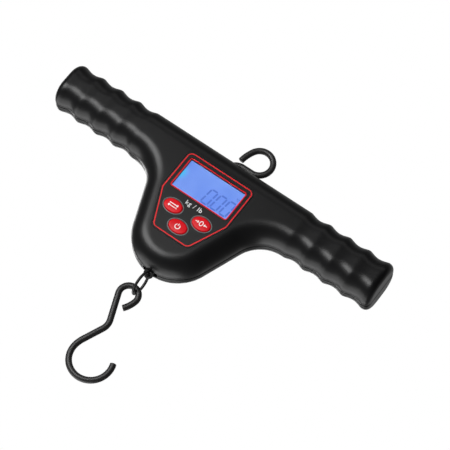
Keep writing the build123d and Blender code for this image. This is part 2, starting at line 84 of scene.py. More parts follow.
PANEL_LOW, PANEL_HIGH = box_mm("face_panel")
PANEL_BACK = PANEL_HIGH[1]
PANEL_TAPER_Z = -29.6
PANEL_FOOT_X = 14.8
PANEL_CORNERS = [
    (PANEL_HIGH[0], PANEL_HIGH[2]),
    (PANEL_HIGH[0], PANEL_TAPER_Z),
    (PANEL_FOOT_X, PANEL_LOW[2]),
    (-PANEL_FOOT_X, PANEL_LOW[2]),
    (-PANEL_HIGH[0], PANEL_TAPER_Z),
    (-PANEL_HIGH[0], PANEL_HIGH[2]),
]
PANEL_ROUND = 4.0
PRINT_PROUD = 0.06  # height of printed lines over the face
LENS_LOW, LENS_HIGH = box_mm("display_lens")
GLASS_LOW, GLASS_HIGH = box_mm("lcd_glass")
BUTTON_HALF_X = 7.1
BUTTON_HALF_Z = 4.95
BUTTON_PROUD = 0.9
BUTTON_PLAY = 0.3  # round each button in the shell
CROWN_EDGE = 0.80  # share of a button's width under its dome
CROWN_FALL = 0.22  # from the dome's middle to its edge
EDGE_ROLL = 1.1
FLANGE_FRONT = 3.7
FLANGE_BACK = 4.6
UNIT_LINE_Z = -29.7
DIGIT_X = (3.2, 10.8, 18.4)
DIGIT_Z = -16.9

DOOR_LOW, DOOR_HIGH = box_mm("battery_door")
DOOR_GAP = 0.25
BAY_INNER_X = 7.9
BAY_GAP = 0.25
BAY_WALL = 1.1
SPRING_ROOM = 3.0
CONTACT_ROOM = 0.55
SCREW_PLACES = [(side * x, z) for x, z in ((HALF_LENGTH - 20.5, 0.0), (52.0, -4.0), (15.0, -64.0))
                for side in (-1, 1)]
SCREW_HEAD = 1.6
WELL_RADIUS = 2.7
WELL_OUTSIDE = 3.3
SCREW_BORE = 1.2
ROUND_STEPS = 32

RING_LOW, RING_HIGH = box_mm("link_ring")
RING_WIRE = RING_HIGH[0]  # radius of the ring's wire
RING_NECK = 0.12  # how much thinner the ring is where its ends are joined
HOOK_WIRE = box_mm("s_hook")[1][1]  # radius of both hooks' wire
CONTACT_GAP = 0.05  # between the ring and the load hook's eye
# The load hook: arcs at its tail, eye, shank and bowl, and the lead into the bowl.
HOOK_EYE_X = -1.5
HOOK_EYE_RADIUS = 6.8
HOOK_TAIL_RADIUS = 20.0
HOOK_TAIL_TURN = -12  # where a wider arc leaves the tighter one, in degrees
SHANK_X = 0.3
SHANK_DROP = 24.9
SHANK_RADIUS = 10.0
BOWL_X = 6.5
BOWL_DROP = 50.3
BOWL_RADIUS = 14.9
BOWL_LEAD_RADIUS = 22.0
BOWL_LEAD_TURN = 172
HOOK_ENDS = (-39, 22)  # cut ends, as angles on the first and the last arc
# The top hook: arcs at its eye on the pin, the bend out of the handle, the loop and the tail.
PIN_Z = 8.0
PIN_EYE_RADIUS = 2.58 + HOOK_WIRE
BEND_X = 4.5
BEND_RADIUS = 9.0
LOOP_X = 11.7
LOOP_RISE = 0.35
LOOP_RADIUS = 9.4
LOOP_TAIL_RADIUS = 28.0
LOOP_TAIL_TURN = 152
TOP_HOOK_ENDS = (-20, 174)
# Slots in the shells, round the top hook's swing and round the lug.
TOP_SLOT_LEFT = 10.56
TOP_SLOT_RIGHT = 3.0
TOP_SLOT_SIDE = 0.55
EYE_SLOT_X = 5.6
EYE_SLOT_Y = 3.0


# ---------------------------------------------------------------- materials


def nodes_of(name):
    """A new material with its shader and a helper that adds linked nodes."""
    material = bpy.data.materials.new(name)
    material.use_nodes = True
    tree = material.node_tree
    shader = tree.nodes["Principled BSDF"]

    def add(kind, inputs=None, **settings):
        node = tree.nodes.new(kind)
        for key, value in settings.items():
            setattr(node, key, value)
        for key, value in (inputs or {}).items():
            if isinstance(value, bpy.types.NodeSocket):
                tree.links.new(value, node.inputs[key])
            else:
                node.inputs[key].default_value = value
        return node

    return material, tree, shader, add


def shade(colour, factor):
    return (colour[0] * factor, colour[1] * factor, colour[2] * factor, 1.0)


def finish_material(name, colour, rough, metal=0.0, mottle=0.12, patch=40.0, grain=1800.0,
                    bump=0.04, rough_swing=0.06, coat=0.0, coat_rough=0.1, shine=0.5):
    """Moulded, coated or milled surface: slow patches of colour, fine grain in gloss and relief."""
    material, tree, shader, add = nodes_of(name)
    place = add("ShaderNodeTexCoord").outputs["Object"]
    slow = add("ShaderNodeTexNoise", {"Vector": place, "Scale": patch, "Detail": 4.0})
    fine = add("ShaderNodeTexNoise", {"Vector": place, "Scale": grain, "Detail": 3.0})
    ramp = add("ShaderNodeValToRGB", {"Fac": slow.outputs["Fac"]})
    ramp.color_ramp.elements[0].position = 0.35
    ramp.color_ramp.elements[0].color = shade(colour, 1 - mottle)
    ramp.color_ramp.elements[1].position = 0.65
    ramp.color_ramp.elements[1].color = shade(colour, 1 + mottle)
    gloss = add("ShaderNodeMapRange", {
        "Value": fine.outputs["Fac"], "To Min": rough - rough_swing, "To Max": rough + rough_swing})
    relief = add("ShaderNodeBump", {
        "Height": fine.outputs["Fac"], "Strength": bump, "Distance": 0.0002})
    tree.links.new(ramp.outputs["Color"], shader.inputs["Base Color"])
    tree.links.new(gloss.outputs["Result"], shader.inputs["Roughness"])
    tree.links.new(relief.outputs["Normal"], shader.inputs["Normal"])
    shader.inputs["Metallic"].default_value = metal
    shader.inputs["Specular IOR Level"].default_value = shine
    shader.inputs["Coat Weight"].default_value = coat
    shader.inputs["Coat Roughness"].default_value = coat_rough
    return material


def brushed_material(name, colour, rough, stretch=(1.0, 1.0, 14.0)):
    """Metal with fine lines along one direction."""
    material, tree, shader, add = nodes_of(name)
    place = add("ShaderNodeTexCoord").outputs["Object"]
    lines = add("ShaderNodeMapping", {"Vector": place, "Scale": stretch})
    grain = add("ShaderNodeTexNoise", {"Vector": lines.outputs["Vector"], "Scale": 900.0})
    ramp = add("ShaderNodeValToRGB", {"Fac": grain.outputs["Fac"]})
    ramp.color_ramp.elements[0].color = shade(colour, 0.75)
    ramp.color_ramp.elements[1].color = shade(colour, 1.1)
    gloss = add("ShaderNodeMapRange", {
        "Value": grain.outputs["Fac"], "To Min": rough - 0.08, "To Max": rough + 0.1})
    tree.links.new(ramp.outputs["Color"], shader.inputs["Base Color"])
    tree.links.new(gloss.outputs["Result"], shader.inputs["Roughness"])
    shader.inputs["Metallic"].default_value = 1.0
    return material


def lens_material():
    """Clear plastic window with faint moulding ripples."""
    material, tree, shader, add = nodes_of("lens_clear")
    place = add("ShaderNodeTexCoord").outputs["Object"]
    ripple = add("ShaderNodeTexNoise", {"Vector": place, "Scale": 60.0, "Detail": 1.0})
    relief = add("ShaderNodeBump", {
        "Height": ripple.outputs["Fac"], "Strength": 0.03, "Distance": 0.0005})
    tint = add("ShaderNodeValToRGB", {"Fac": ripple.outputs["Fac"]})
    tint.color_ramp.elements[0].color = (0.95, 0.97, 1.0, 1.0)
    tint.color_ramp.elements[1].color = (1.0, 1.0, 1.0, 1.0)
    tree.links.new(relief.outputs["Normal"], shader.inputs["Normal"])
    tree.links.new(tint.outputs["Color"], shader.inputs["Base Color"])
    shader.inputs["Roughness"].default_value = 0.06
    shader.inputs["Transmission Weight"].default_value = 1.0
    shader.inputs["IOR"].default_value = 1.1
    return material


def display_material():
    """Lit display: periwinkle blue, with a cyan glow where the light enters on the left."""
    material, tree, shader, add = nodes_of("display_blue")
    place = add("ShaderNodeTexCoord").outputs["Object"]
    middle_z = (LENS_LOW[2] + LENS_HIGH[2]) / 2 * MM
    entry = Vector((-24.5 * MM, GLASS_LOW[1] * MM, middle_z + 0.5 * MM))
    offset = add("ShaderNodeVectorMath", {0: place, 1: entry}, operation="DISTANCE")
    near = add("ShaderNodeMapRange", {
        "Value": offset.outputs["Value"], "From Min": 0.0, "From Max": 7.5 * MM,
        "To Min": 1.0, "To Max": 0.0}, interpolation_type="SMOOTHSTEP")
    clouds = add("ShaderNodeTexNoise", {"Vector": place, "Scale": 45.0, "Detail": 2.0})
    sheet = add("ShaderNodeValToRGB", {"Fac": clouds.outputs["Fac"]})
    sheet.color_ramp.elements[0].position = 0.3
    sheet.color_ramp.elements[0].color = (0.15, 0.29, 0.84, 1.0)
    sheet.color_ramp.elements[1].position = 0.75
    sheet.color_ramp.elements[1].color = (0.22, 0.37, 0.90, 1.0)
    glow = add("ShaderNodeMix", {
        "Factor": near.outputs["Result"], "A": sheet.outputs["Color"],
        "B": (0.06, 0.62, 1.0, 1.0)}, data_type="RGBA")
    colour = [s for s in glow.outputs if s.type == "RGBA"][0]
    tree.links.new(colour, shader.inputs["Emission Color"])
    shader.inputs["Base Color"].default_value = (0.02, 0.03, 0.08, 1.0)
    shader.inputs["Emission Strength"].default_value = 0.93
    shader.inputs["Specular IOR Level"].default_value = 0.12
    shader.inputs["Roughness"].default_value = 0.3
    return material


def segment_material():
    """Dark segments, seen through the light of the display."""
    material, tree, shader, add = nodes_of("display_segment")
    place = add("ShaderNodeTexCoord").outputs["Object"]
    mottle = add("ShaderNodeTexNoise", {"Vector": place, "Scale": 500.0})
    ramp = add("ShaderNodeValToRGB", {"Fac": mottle.outputs["Fac"]})
    ramp.color_ramp.elements[0].color = (0.075, 0.160, 0.62, 1.0)
    ramp.color_ramp.elements[1].color = (0.088, 0.180, 0.66, 1.0)
    tree.links.new(ramp.outputs["Color"], shader.inputs["Emission Color"])
    shader.inputs["Base Color"].default_value = (0.02, 0.03, 0.08, 1.0)
    shader.inputs["Emission Strength"].default_value = 0.93
    shader.inputs["Specular IOR Level"].default_value = 0.12
    shader.inputs["Roughness"].default_value = 0.3
    return material


BLACK = (0.003, 0.003, 0.0033)
housing_black = finish_material("housing_black", BLACK, 0.34, mottle=0.1, grain=2600.0, bump=0.02,
                                rough_swing=0.04, shine=0.25)
panel_black = finish_material("panel_black", (0.003, 0.003, 0.0035), 0.38, grain=3200.0, bump=0.02,
                              shine=0.25)
hook_black = finish_material("hook_black", (0.007, 0.0065, 0.0065), 0.46, mottle=0.2, patch=90.0,
                             grain=250.0, bump=0.0, rough_swing=0.02, shine=0.45)
eye_black = finish_material("eye_black", (0.004, 0.004, 0.004), 0.5, shine=0.15)
button_red = finish_material("button_red", (0.60, 0.004, 0.010), 0.34, mottle=0.04, patch=120.0,
                             bump=0.01, rough_swing=0.03, shine=0.16)
line_red = finish_material("line_red", (0.68, 0.010, 0.014), 0.4, mottle=0.05, patch=200.0, shine=0.2)
print_white = finish_material("print_white", (0.80, 0.80, 0.80), 0.45, mottle=0.04, patch=300.0)
# Pale grey for the button rims: a painted highlight standing for the light caught by the chamfer
# round each button's opening.
painted_rim_highlight = finish_material("painted_rim_highlight", (0.16, 0.16, 0.165), 0.3, metal=0.4, patch=300.0)
CAD_FINISHES = {
    "battery_door": housing_black,
    "face_panel": panel_black,
    "display_lens": lens_material(),
    "lcd_frame": finish_material("frame_white", (0.45, 0.45, 0.44), 0.5),
    "backlight_panel": finish_material("light_guide", (0.55, 0.65, 0.9), 0.35, patch=80.0),
    "lcd_connector": finish_material("strip_rubber", (0.25, 0.03, 0.03), 0.7, grain=4000.0),
    "main_board": finish_material("board_green", (0.01, 0.12, 0.04), 0.35, mottle=0.25, patch=300.0),
    "tact_switches": finish_material("switch_grey", (0.06, 0.06, 0.06), 0.4),
    "board_chips": finish_material("chip_black", (0.02, 0.02, 0.02), 0.5, grain=5000.0),
    "board_screws": brushed_material("screw_steel", (0.42, 0.42, 0.43), 0.32),
    "load_cell": brushed_material("cell_alloy", (0.72, 0.72, 0.74), 0.33),
    "strain_gauges": finish_material("gauge_film", (0.5, 0.2, 0.04), 0.4, grain=6000.0),
    "hanger_plates": brushed_material("plate_steel", (0.48, 0.48, 0.5), 0.35),
    "pin_spacers": finish_material("spacer_nylon", (0.7, 0.7, 0.66), 0.5),
    "batteries": finish_material("battery_sleeve", (0.08, 0.085, 0.1), 0.28, mottle=0.3, coat=0.3),
    "battery_springs": brushed_material("contact_plated", (0.62, 0.62, 0.6), 0.25),
    "cell_wires": finish_material("wire_sleeve", (0.35, 0.02, 0.02), 0.5),
    "load_eye": eye_black,
}
for partner, like in {
    "housing_screws": "board_screws",
    "upper_cell_screws": "board_screws",
    "lower_cell_screws": "board_screws",
    "cross_pin": "hanger_plates",
    "battery_contacts": "battery_springs",
    "battery_wires": "cell_wires",
}.items():
    CAD_FINISHES[partner] = CAD_FINISHES[like]


def paint_cad_nodes():
    for name, material in CAD_FINISHES.items():
        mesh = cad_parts[name].data
        mesh.materials.clear()
        mesh.materials.append(material)


# ---------------------------------------------------------------- mesh tools


def new_object(name, points, faces, material):
    """A mesh object from points in millimetres."""
    mesh = bpy.data.meshes.new(name)
    mesh.from_pydata((np.asarray(points, float) * MM).tolist(), [], faces)
    mesh.update()
    mesh.materials.append(material)
    thing = bpy.data.objects.new(name, mesh)
    bpy.context.scene.collection.objects.link(thing)
    return thing


def inset_corners(corners, inset):
    """Corners of a convex outline, listed clockwise, moved in by inset."""
    moved = []
    for place, here in enumerate(corners):
        before = corners[place - 1]
        after = corners[(place + 1) % len(corners)]
        lines = []
        for start, end in ((before, here), (here, after)):
            run = (end[0] - start[0], end[1] - start[1])
            size = math.hypot(*run)
            normal = (run[1] / size, -run[0] / size)
            reach = normal[0] * here[0] + normal[1] * here[1] + inset
            lines.append((normal, reach))
        (n1, c1), (n2, c2) = lines
        det = n1[0] * n2[1] - n1[1] * n2[0]
        moved.append(((c1 * n2[1] - c2 * n1[1]) / det, (n1[0] * c2 - n2[0] * c1) / det))
    return moved


def rounded_outline(corners, radius, steps=8):
    """Points round a convex outline with arcs at its corners."""
    outline = []
    for place, here in enumerate(corners):
        here = Vector(here)
        back = (Vector(corners[place - 1]) - here).normalized()
        on = (Vector(corners[(place + 1) % len(corners)]) - here).normalized()
        half = back.angle(on) / 2
        centre = here + (back + on).normalized() * radius / math.sin(half)
        start = here + back * radius / math.tan(half) - centre
        end = here + on * radius / math.tan(half) - centre
        turn = start.angle_signed(end)
        for step in range(steps + 1):
            angle = -turn * step / steps
            outline.append((
                centre.x + start.x * math.cos(angle) - start.y * math.sin(angle),
                centre.y + start.x * math.sin(angle) + start.y * math.cos(angle),
            ))
    return outline


def box_outline(x0, x1, z0, z1, radius, steps=6):
    return rounded_outline([(x1, z1), (x1, z0), (x0, z0), (x0, z1)], radius, steps)


def oval_outline(x, z, half_x, half_z, steps=72):
    turns = [2 * math.pi * step / steps for step in range(steps)]
    return [(x + half_x * math.sin(a), z + half_z * math.cos(a)) for a in turns]


def band(outer, inner, y_top, y_foot):
    """Raised closed band between two outlines with equally many points."""
    count = len(outer)
    points = [(x, y, z) for outline, y in ((outer, y_foot), (outer, y_top), (inner, y_top),
                                           (inner, y_foot)) for x, z in outline]
    faces = []
    for row in range(3):
        for i in range(count):
            j = (i + 1) % count
            faces.append(((row + 1) * count + i, (row + 1) * count + j,
                          row * count + j, row * count + i))
    return points, faces


def prism(outline, y0, y1):
    """Closed solid between two depths, for cutting."""
    count = len(outline)
    points = [(x, y0, z) for x, z in outline] + [(x, y1, z) for x, z in outline]
    faces = [tuple(range(count)), tuple(range(2 * count - 1, count - 1, -1))]
    for i in range(count):
        j = (i + 1) % count
        faces.append((i, i + count, j + count, j))
    return points, faces


def joined(parts):
    """Several (points, faces) lists as one."""
    points, faces = [], []
    for some_points, some_faces in parts:
        start = len(points)
        points.extend(some_points)
        faces.extend(tuple(i + start for i in face) for face in some_faces)
    return points, faces


def cut(thing, parts):
    """Takes solids away from a mesh object."""
    points, faces = joined(parts)
    tool = new_object("cutter", points, faces, thing.data.materials[0])
    shaper = bmesh.new()
    shaper.from_mesh(tool.data)
    bmesh.ops.recalc_face_normals(shaper, faces=shaper.faces)
    shaper.to_mesh(tool.data)
    shaper.free()
    modifier = thing.modifiers.new("cut", "BOOLEAN")
    modifier.operation = "DIFFERENCE"
    modifier.solver = "EXACT"
    modifier.object = tool
    graph = bpy.context.evaluated_depsgraph_get()
    shaped = bpy.data.meshes.new_from_object(thing.evaluated_get(graph))
    thing.modifiers.clear()
    thing.data = shaped
    bpy.data.objects.remove(tool)


def settle(thing, body, slot, *stands_for, smooth_deg=32):
    """Shades a finished piece and ties it to the frame."""
    thing.data.shade_smooth()
    thing.data.set_sharp_from_angle(angle=math.radians(smooth_deg))
    if stands_for:
        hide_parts(*stands_for)
    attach(thing, body)


# ---------------------------------------------------------------- housing


def round_meet(a, b, radius):
    """Distance to where two fields overlap, with the edge rounded."""
    inner = np.minimum(np.maximum(a + radius, b + radius), 0)
    return inner + np.hypot(np.maximum(a + radius, 0), np.maximum(b + radius, 0)) - radius


def grip_wave(x):
    """How far the finger grooves go in at this place along the handle."""
    along = np.clip(x - GRIP_START, 0, GROOVE_COUNT * GROOVE_PITCH)
    scallop = np.hypot(np.sin(math.pi * along / GROOVE_PITCH), CREST_SOFTNESS) - CREST_SOFTNESS
    return GROOVE_DEPTH * scallop / (math.hypot(1, CREST_SOFTNESS) - CREST_SOFTNESS)


def outline_distance(x, z, height):
    """Distance to the front outline: bar, shoulders, flanks and chin. Negative inside."""
    shoulder = np.hypot(x - SHOULDER_X, z - SHOULDER_Z)
    chin = np.hypot(x, z - CHIN_CENTRE)
    flank = x * FLANK[0] + (z - CHIN_CENTRE) * FLANK[1] - CHIN_RADIUS
    past_foot = x * FLANK[1] - (z - CHIN_CENTRE) * FLANK[0] > 0
    before_neck = (x - SHOULDER_X) * FLANK[1] - (z - SHOULDER_Z) * FLANK[0] < 0
    low = np.where(past_foot, chin - CHIN_RADIUS, flank)
    low = np.where(before_neck & ~past_foot, SHOULDER_RADIUS - shoulder, low)
    low = np.where(x > SHOULDER_X, -height - z, low)
    return np.maximum(low, z - height)


def envelope(p):
    """Distance to the closed housing's outside."""
    x, y, z = np.abs(p[..., 0]), np.abs(p[..., 1]), p[..., 2]
    wave = grip_wave(x)
    outline = outline_distance(x, z, HALF_HEIGHT - wave)
    body = round_meet(outline, y - HALF_DEPTH + FACE_GROOVE * wave, EDGE_ROUND)
    return round_meet(body, x - HALF_LENGTH, END_ROUND)


def shell_field(side):
    """Distance to one shell, side -1 for the front and 1 for the rear."""

    def field(p):
        outside = envelope(p)
        half = round_meet(outside, SEAM_GAP - side * p[..., 1], SEAM_LIP)
        return np.maximum(half, -(outside + WALL))

    return field


def slope(field, points, step=0.01):
    """How a field changes along X, Y and Z at each point."""
    columns = []
    for axis in range(3):
        nudge = np.zeros(3)
        nudge[axis] = step
        columns.append((field(points + nudge) - field(points - nudge)) / (2 * step))
    return np.stack(columns, -1)


def surface_net(field, xs, ys, zs, steps=4):
    """Quads over the zero surface of a field, their corners moved onto the surface."""
    axes = (xs, ys, zs)
    grid = np.stack(np.meshgrid(xs, ys, zs, indexing="ij"), -1)
    value = field(grid)
    cells = tuple(n - 1 for n in value.shape)
    total = np.zeros(cells + (3,))
    count = np.zeros(cells)
    crossings = []
    for axis in range(3):
        size = value.shape[axis]
        first = value.take(range(size - 1), axis)
        second = value.take(range(1, size), axis)
        crosses = (first < 0) != (second < 0)
        share = np.where(crosses, first / np.where(crosses, first - second, 1), 0)
        start = grid.take(range(size - 1), axis)
        point = start + share[..., None] * (grid.take(range(1, size), axis) - start)
        crossings.append((crosses, first < 0))
        others = [a for a in range(3) if a != axis]
        for shift in ((0, 0), (0, 1), (1, 0), (1, 1)):
            window = [slice(None)] * 3
            for other, by in zip(others, shift):
                window[other] = slice(by, by + cells[other])
            window = tuple(window)
            total += point[window] * crosses[window][..., None]
            count += crosses[window]
    used = count > 0
    number = np.full(cells, -1)
    number[used] = np.arange(used.sum())
    points = total[used] / count[used][:, None]
    quads = []
    for axis, (crosses, outward) in enumerate(crossings):
        b, c = (axis + 1) % 3, (axis + 2) % 3
        spots = np.argwhere(crosses)
        keep = np.ones(len(spots), bool)
        for other in (b, c):
            keep &= (spots[:, other] > 0) & (spots[:, other] < len(axes[other]) - 1)
        spots = spots[keep]
        ring = []
        for db, dc in ((1, 1), (0, 1), (0, 0), (1, 0)):
            cell = spots.copy()
            cell[:, b] -= db
            cell[:, c] -= dc
            ring.append(number[tuple(cell.T)])
        quad = np.stack(ring, -1)
        out = outward[tuple(spots.T)]
        quads.append(np.where(out[:, None], quad, quad[:, ::-1]))
    quads = np.concatenate(quads)
    for _ in range(steps):
        away = slope(field, points)
        size = np.maximum((away**2).sum(-1), 0.25)
        move = (field(points) / size)[:, None] * away
        points = points - np.clip(move, -0.5, 0.5)
    return points, quads


def grid_lines(low, high, pitch):
    """Evenly spaced places, no further apart than the pitch."""
    return np.linspace(low, high, int(math.ceil((high - low) / pitch)) + 1)


def shell_mesh(side, name):
    """One shell's skin, before its openings are cut."""
    margin = 1.5
    xs = grid_lines(-HALF_LENGTH - margin, HALF_LENGTH + margin, SKIN_PITCH)
    zs = grid_lines(-CHIN_DROP - margin, HALF_HEIGHT + margin, SKIN_PITCH)
    past_seam = grid_lines(1.7, HALF_DEPTH + 1.0, SKIN_DEPTH_PITCH)
    ys = np.concatenate([SEAM_ROWS, past_seam])
    if side < 0:
        ys = -ys[::-1]
    points, quads = surface_net(shell_field(side), xs, ys, zs)
    return new_object(name, points, quads.tolist(), housing_black)


def box_cut(x0, x1, y0, y1, z0, z1):
    return prism([(x0, z0), (x1, z0), (x1, z1), (x0, z1)], y0, y1)


def slot_cuts():
    """Top slot round the hook's swing and bottom slot round the lug."""
    half = HOOK_WIRE + TOP_SLOT_SIDE
    return [
        box_cut(-TOP_SLOT_LEFT, TOP_SLOT_RIGHT, -half, half, HALF_HEIGHT - 6, HALF_HEIGHT + 2),
        box_cut(-EYE_SLOT_X, EYE_SLOT_X, -EYE_SLOT_Y, EYE_SLOT_Y, -CHIN_DROP - 2, -CHIN_DROP + 5),
    ]


def button_centres():
    """Centre of each button in X and Z, by its node's name."""
    centres = {}
    for name in ("unit_button", "tare_button", "power_button"):
        low, high = box_mm(name)
        centres[name] = ((low[0] + high[0]) / 2, (low[2] + high[2]) / 2)
    return centres


def front_shell():
    shell = shell_mesh(-1, "front_shell_skin")
    front = -HALF_DEPTH - 2
    pocket = rounded_outline(inset_corners(PANEL_CORNERS, -0.3), PANEL_ROUND + 0.3)
    cut(shell, [prism(pocket, front, PANEL_BACK + 0.02)])
    window = box_outline(LENS_LOW[0] + 1, LENS_HIGH[0] - 1, LENS_LOW[2] + 1, LENS_HIGH[2] - 1, 1.0)
    holes = [prism(window, front, -HALF_DEPTH + 2 * WALL)]
    for x, z in button_centres().values():
        oval = oval_outline(x, z, BUTTON_HALF_X + BUTTON_PLAY, BUTTON_HALF_Z + BUTTON_PLAY)
        holes.append(prism(oval, front, -HALF_DEPTH + 2 * WALL))
    cut(shell, holes + slot_cuts())
    settle(shell, "housing", "housing_black", "front_shell")


def bay_spans():
    """X span of each battery bay, and the bays' depth and height."""
    low, high = box_mm("batteries")
    edge = high[0] + BAY_GAP
    spans = [(BAY_INNER_X, edge), (-edge, -BAY_INNER_X)]
    return spans, low[1] - BAY_GAP, low[2] - SPRING_ROOM, high[2] + CONTACT_ROOM


def rear_shell():
    shell = shell_mesh(1, "rear_shell_skin")
    back = HALF_DEPTH + 2
    door = box_outline(DOOR_LOW[0] - DOOR_GAP, DOOR_HIGH[0] + DOOR_GAP,
                       DOOR_LOW[2] - DOOR_GAP, DOOR_HIGH[2] + DOOR_GAP, 0.4, 2)
    cut(shell, [prism(door, DOOR_LOW[1] - 0.05, back)])
    holes = slot_cuts()
    spans, _, foot, top = bay_spans()
    for x0, x1 in spans:
        holes.append(box_cut(x0, x1, HALF_DEPTH - WALL - 1, back, foot, top))
    for x, z in SCREW_PLACES:
        well = oval_outline(x, z, WELL_RADIUS, WELL_RADIUS, ROUND_STEPS)
        holes.append(prism(well, HALF_DEPTH - WALL - 3, back))
    cut(shell, holes)
    settle(shell, "housing", "housing_black", "rear_shell")


def battery_bays():
    """Open trays behind the door, part of the rear shell."""
    spans, front, foot, top = bay_spans()
    rim = DOOR_LOW[1] - 0.1
    parts = []
    for x0, x1 in spans:
        outer = [(x1 + BAY_WALL, top + BAY_WALL), (x1 + BAY_WALL, foot - BAY_WALL),
                 (x0 - BAY_WALL, foot - BAY_WALL), (x0 - BAY_WALL, top + BAY_WALL)]
        inner = [(x1, top), (x1, foot), (x0, foot), (x0, top)]
        rows = [(outer, rim), (inner, rim), (inner, front), (outer, front - BAY_WALL)]
        points = [(x, y, z) for outline, y in rows for x, z in outline]
        faces = [(8, 9, 10, 11), (15, 14, 13, 12)]
        for a, b in ((0, 4), (4, 8), (12, 0)):
            for i in range(4):
                j = (i + 1) % 4
                faces.append((a + i, a + j, b + j, b + i))
        parts.append((points, faces))
    points, faces = joined(parts)
    bays = new_object("battery_bays", points, faces, housing_black)
    bevel = bays.modifiers.new("edge", "BEVEL")
    bevel.width = 0.25 * MM
    bevel.segments = 2
    settle(bays, "housing", "housing_black", "rear_shell")


def screw_wells():
    """Walls of the deep holes that the housing screws sit in."""
    parts = []
    seat = box_mm("housing_screws")[1][1] - SCREW_HEAD
    mouth = HALF_DEPTH - WALL - 0.9
    steps = ROUND_STEPS
    for x, z in SCREW_PLACES:
        outer, wide, narrow = (oval_outline(x, z, radius, radius, steps)
                               for radius in (WELL_OUTSIDE, WELL_RADIUS, SCREW_BORE))
        rows = [(outer, mouth), (wide, mouth), (wide, seat), (narrow, seat)]
        points = [(a, y, b) for outline, y in rows for a, b in outline]
        faces = []
        for row in range(3):
            a, b = row * steps, (row + 1) * steps
            for i in range(steps):
                j = (i + 1) % steps
                faces.append((a + i, a + j, b + j, b + i))
        parts.append((points, faces))
    points, faces = joined(parts)
    wells = new_object("screw_wells", points, faces, housing_black)
    settle(wells, "housing", "housing_black", "rear_shell")


# ---------------------------------------------------------------- hooks


def easing(circle, radius, angle_deg, slack=0.02):
    """Wider circle round a tighter one, all but touching it at this angle."""
    x, z, tight, turn = circle
    reach = radius - tight + slack
    angle = math.radians(angle_deg)
    return (x - reach * math.cos(angle), z - reach * math.sin(angle), radius, turn)


def wire_route(circles, start_deg, end_deg, pitch=0.7):
    """Points along a wire that turns about each circle in order, straight between them."""
    headings = []
    for (x1, z1, r1, t1), (x2, z2, r2, t2) in zip(circles, circles[1:]):
        gap = math.hypot(x2 - x1, z2 - z1)
        headings.append(math.atan2(z2 - z1, x2 - x1) - math.asin((t2 * r2 - t1 * r1) / gap))
    begin = [math.radians(start_deg)]
    finish = []
    for place, heading in enumerate(headings):
        finish.append(heading - circles[place][3] * math.pi / 2)
        begin.append(heading - circles[place + 1][3] * math.pi / 2)
    finish.append(math.radians(end_deg))
    route = []
    for (x, z, radius, turn), first, last in zip(circles, begin, finish):
        swept = (turn * (last - first)) % (2 * math.pi)
        pieces = max(2, int(math.ceil(swept * radius / pitch)))
        for k in range(pieces + 1):
            angle = first + turn * swept * k / pieces
            route.append((x + radius * math.cos(angle), z + radius * math.sin(angle)))
    return route


def bent_wire(name, route, around=28, edge=0.4):
    """Round wire along a route in the X and Z plane, with softened cut ends."""
    spine = [Vector(p) for p in route]
    heads = []
    for i in range(len(spine)):
        before = spine[max(i - 1, 0)]
        after = spine[min(i + 1, len(spine) - 1)]
        heads.append((after - before).normalized())
    rows = []
    corner = [(edge * (1 - math.sin(a)), HOOK_WIRE - edge * (1 - math.cos(a)))
              for a in (math.pi / 2, math.pi / 3, math.pi / 6, 0)]
    for inset, radius in corner:
        rows.append((spine[0] + heads[0] * inset, heads[0], radius))
    rows += [(p, h, HOOK_WIRE) for p, h in zip(spine[2:-2], heads[2:-2])]
    for inset, radius in reversed(corner):
        rows.append((spine[-1] - heads[-1] * inset, heads[-1], radius))
    points = []
    for place, head, radius in rows:
        for k in range(around):
            turn = 2 * math.pi * k / around
            out = Vector((head.y, -head.x)) * radius * math.cos(turn)
            points.append((place.x + out.x, radius * math.sin(turn), place.y + out.y))
    faces = []
    for row in range(len(rows) - 1):
        for k in range(around):
            j = (k + 1) % around
            a, b = row * around, (row + 1) * around
            faces.append((a + k, a + j, b + j, b + k))
    last = (len(rows) - 1) * around
    faces += [tuple(range(around - 1, -1, -1)), tuple(range(last, last + around))]
    return new_object(name, points, faces, hook_black)


def s_hook():
    """Load hook: a short tail, the eye on the ring, a bend, and the open bowl."""
    ring_wire_z = RING_LOW[2] + RING_WIRE
    hang = HOOK_EYE_RADIUS - HOOK_WIRE - RING_WIRE - CONTACT_GAP
    eye_z = ring_wire_z - math.sqrt(hang**2 - HOOK_EYE_X**2)
    eye = (HOOK_EYE_X, eye_z, HOOK_EYE_RADIUS, 1)
    bend = (SHANK_X - SHANK_RADIUS, eye_z - SHANK_DROP, SHANK_RADIUS, -1)
    bowl = (BOWL_X, eye_z - BOWL_DROP, BOWL_RADIUS, 1)
    tail = easing(eye, HOOK_TAIL_RADIUS, HOOK_TAIL_TURN)
    lead = easing(bowl, BOWL_LEAD_RADIUS, BOWL_LEAD_TURN)
    route = wire_route([tail, eye, bend, lead, bowl], *HOOK_ENDS)
    wire = bent_wire("s_hook_wire", route)
    settle(wire, "s_hook", "hook_black", "s_hook", smooth_deg=50)


def top_hook():
    """Hook on the cross pin, which bends over the handle and closes into a loop."""
    loop_z = HALF_HEIGHT + LOOP_RISE + HOOK_WIRE + LOOP_RADIUS
    eye = (0, PIN_Z, PIN_EYE_RADIUS, -1)
    bend = (BEND_X, loop_z - LOOP_RADIUS - BEND_RADIUS, BEND_RADIUS, -1)
    loop = (LOOP_X, loop_z, LOOP_RADIUS, 1)
    tail = easing(loop, LOOP_TAIL_RADIUS, LOOP_TAIL_TURN)
    route = wire_route([eye, bend, loop, tail], *TOP_HOOK_ENDS)
    wire = bent_wire("top_hook_wire", route)
    settle(wire, "top_hook", "hook_black", "top_hook", smooth_deg=50)


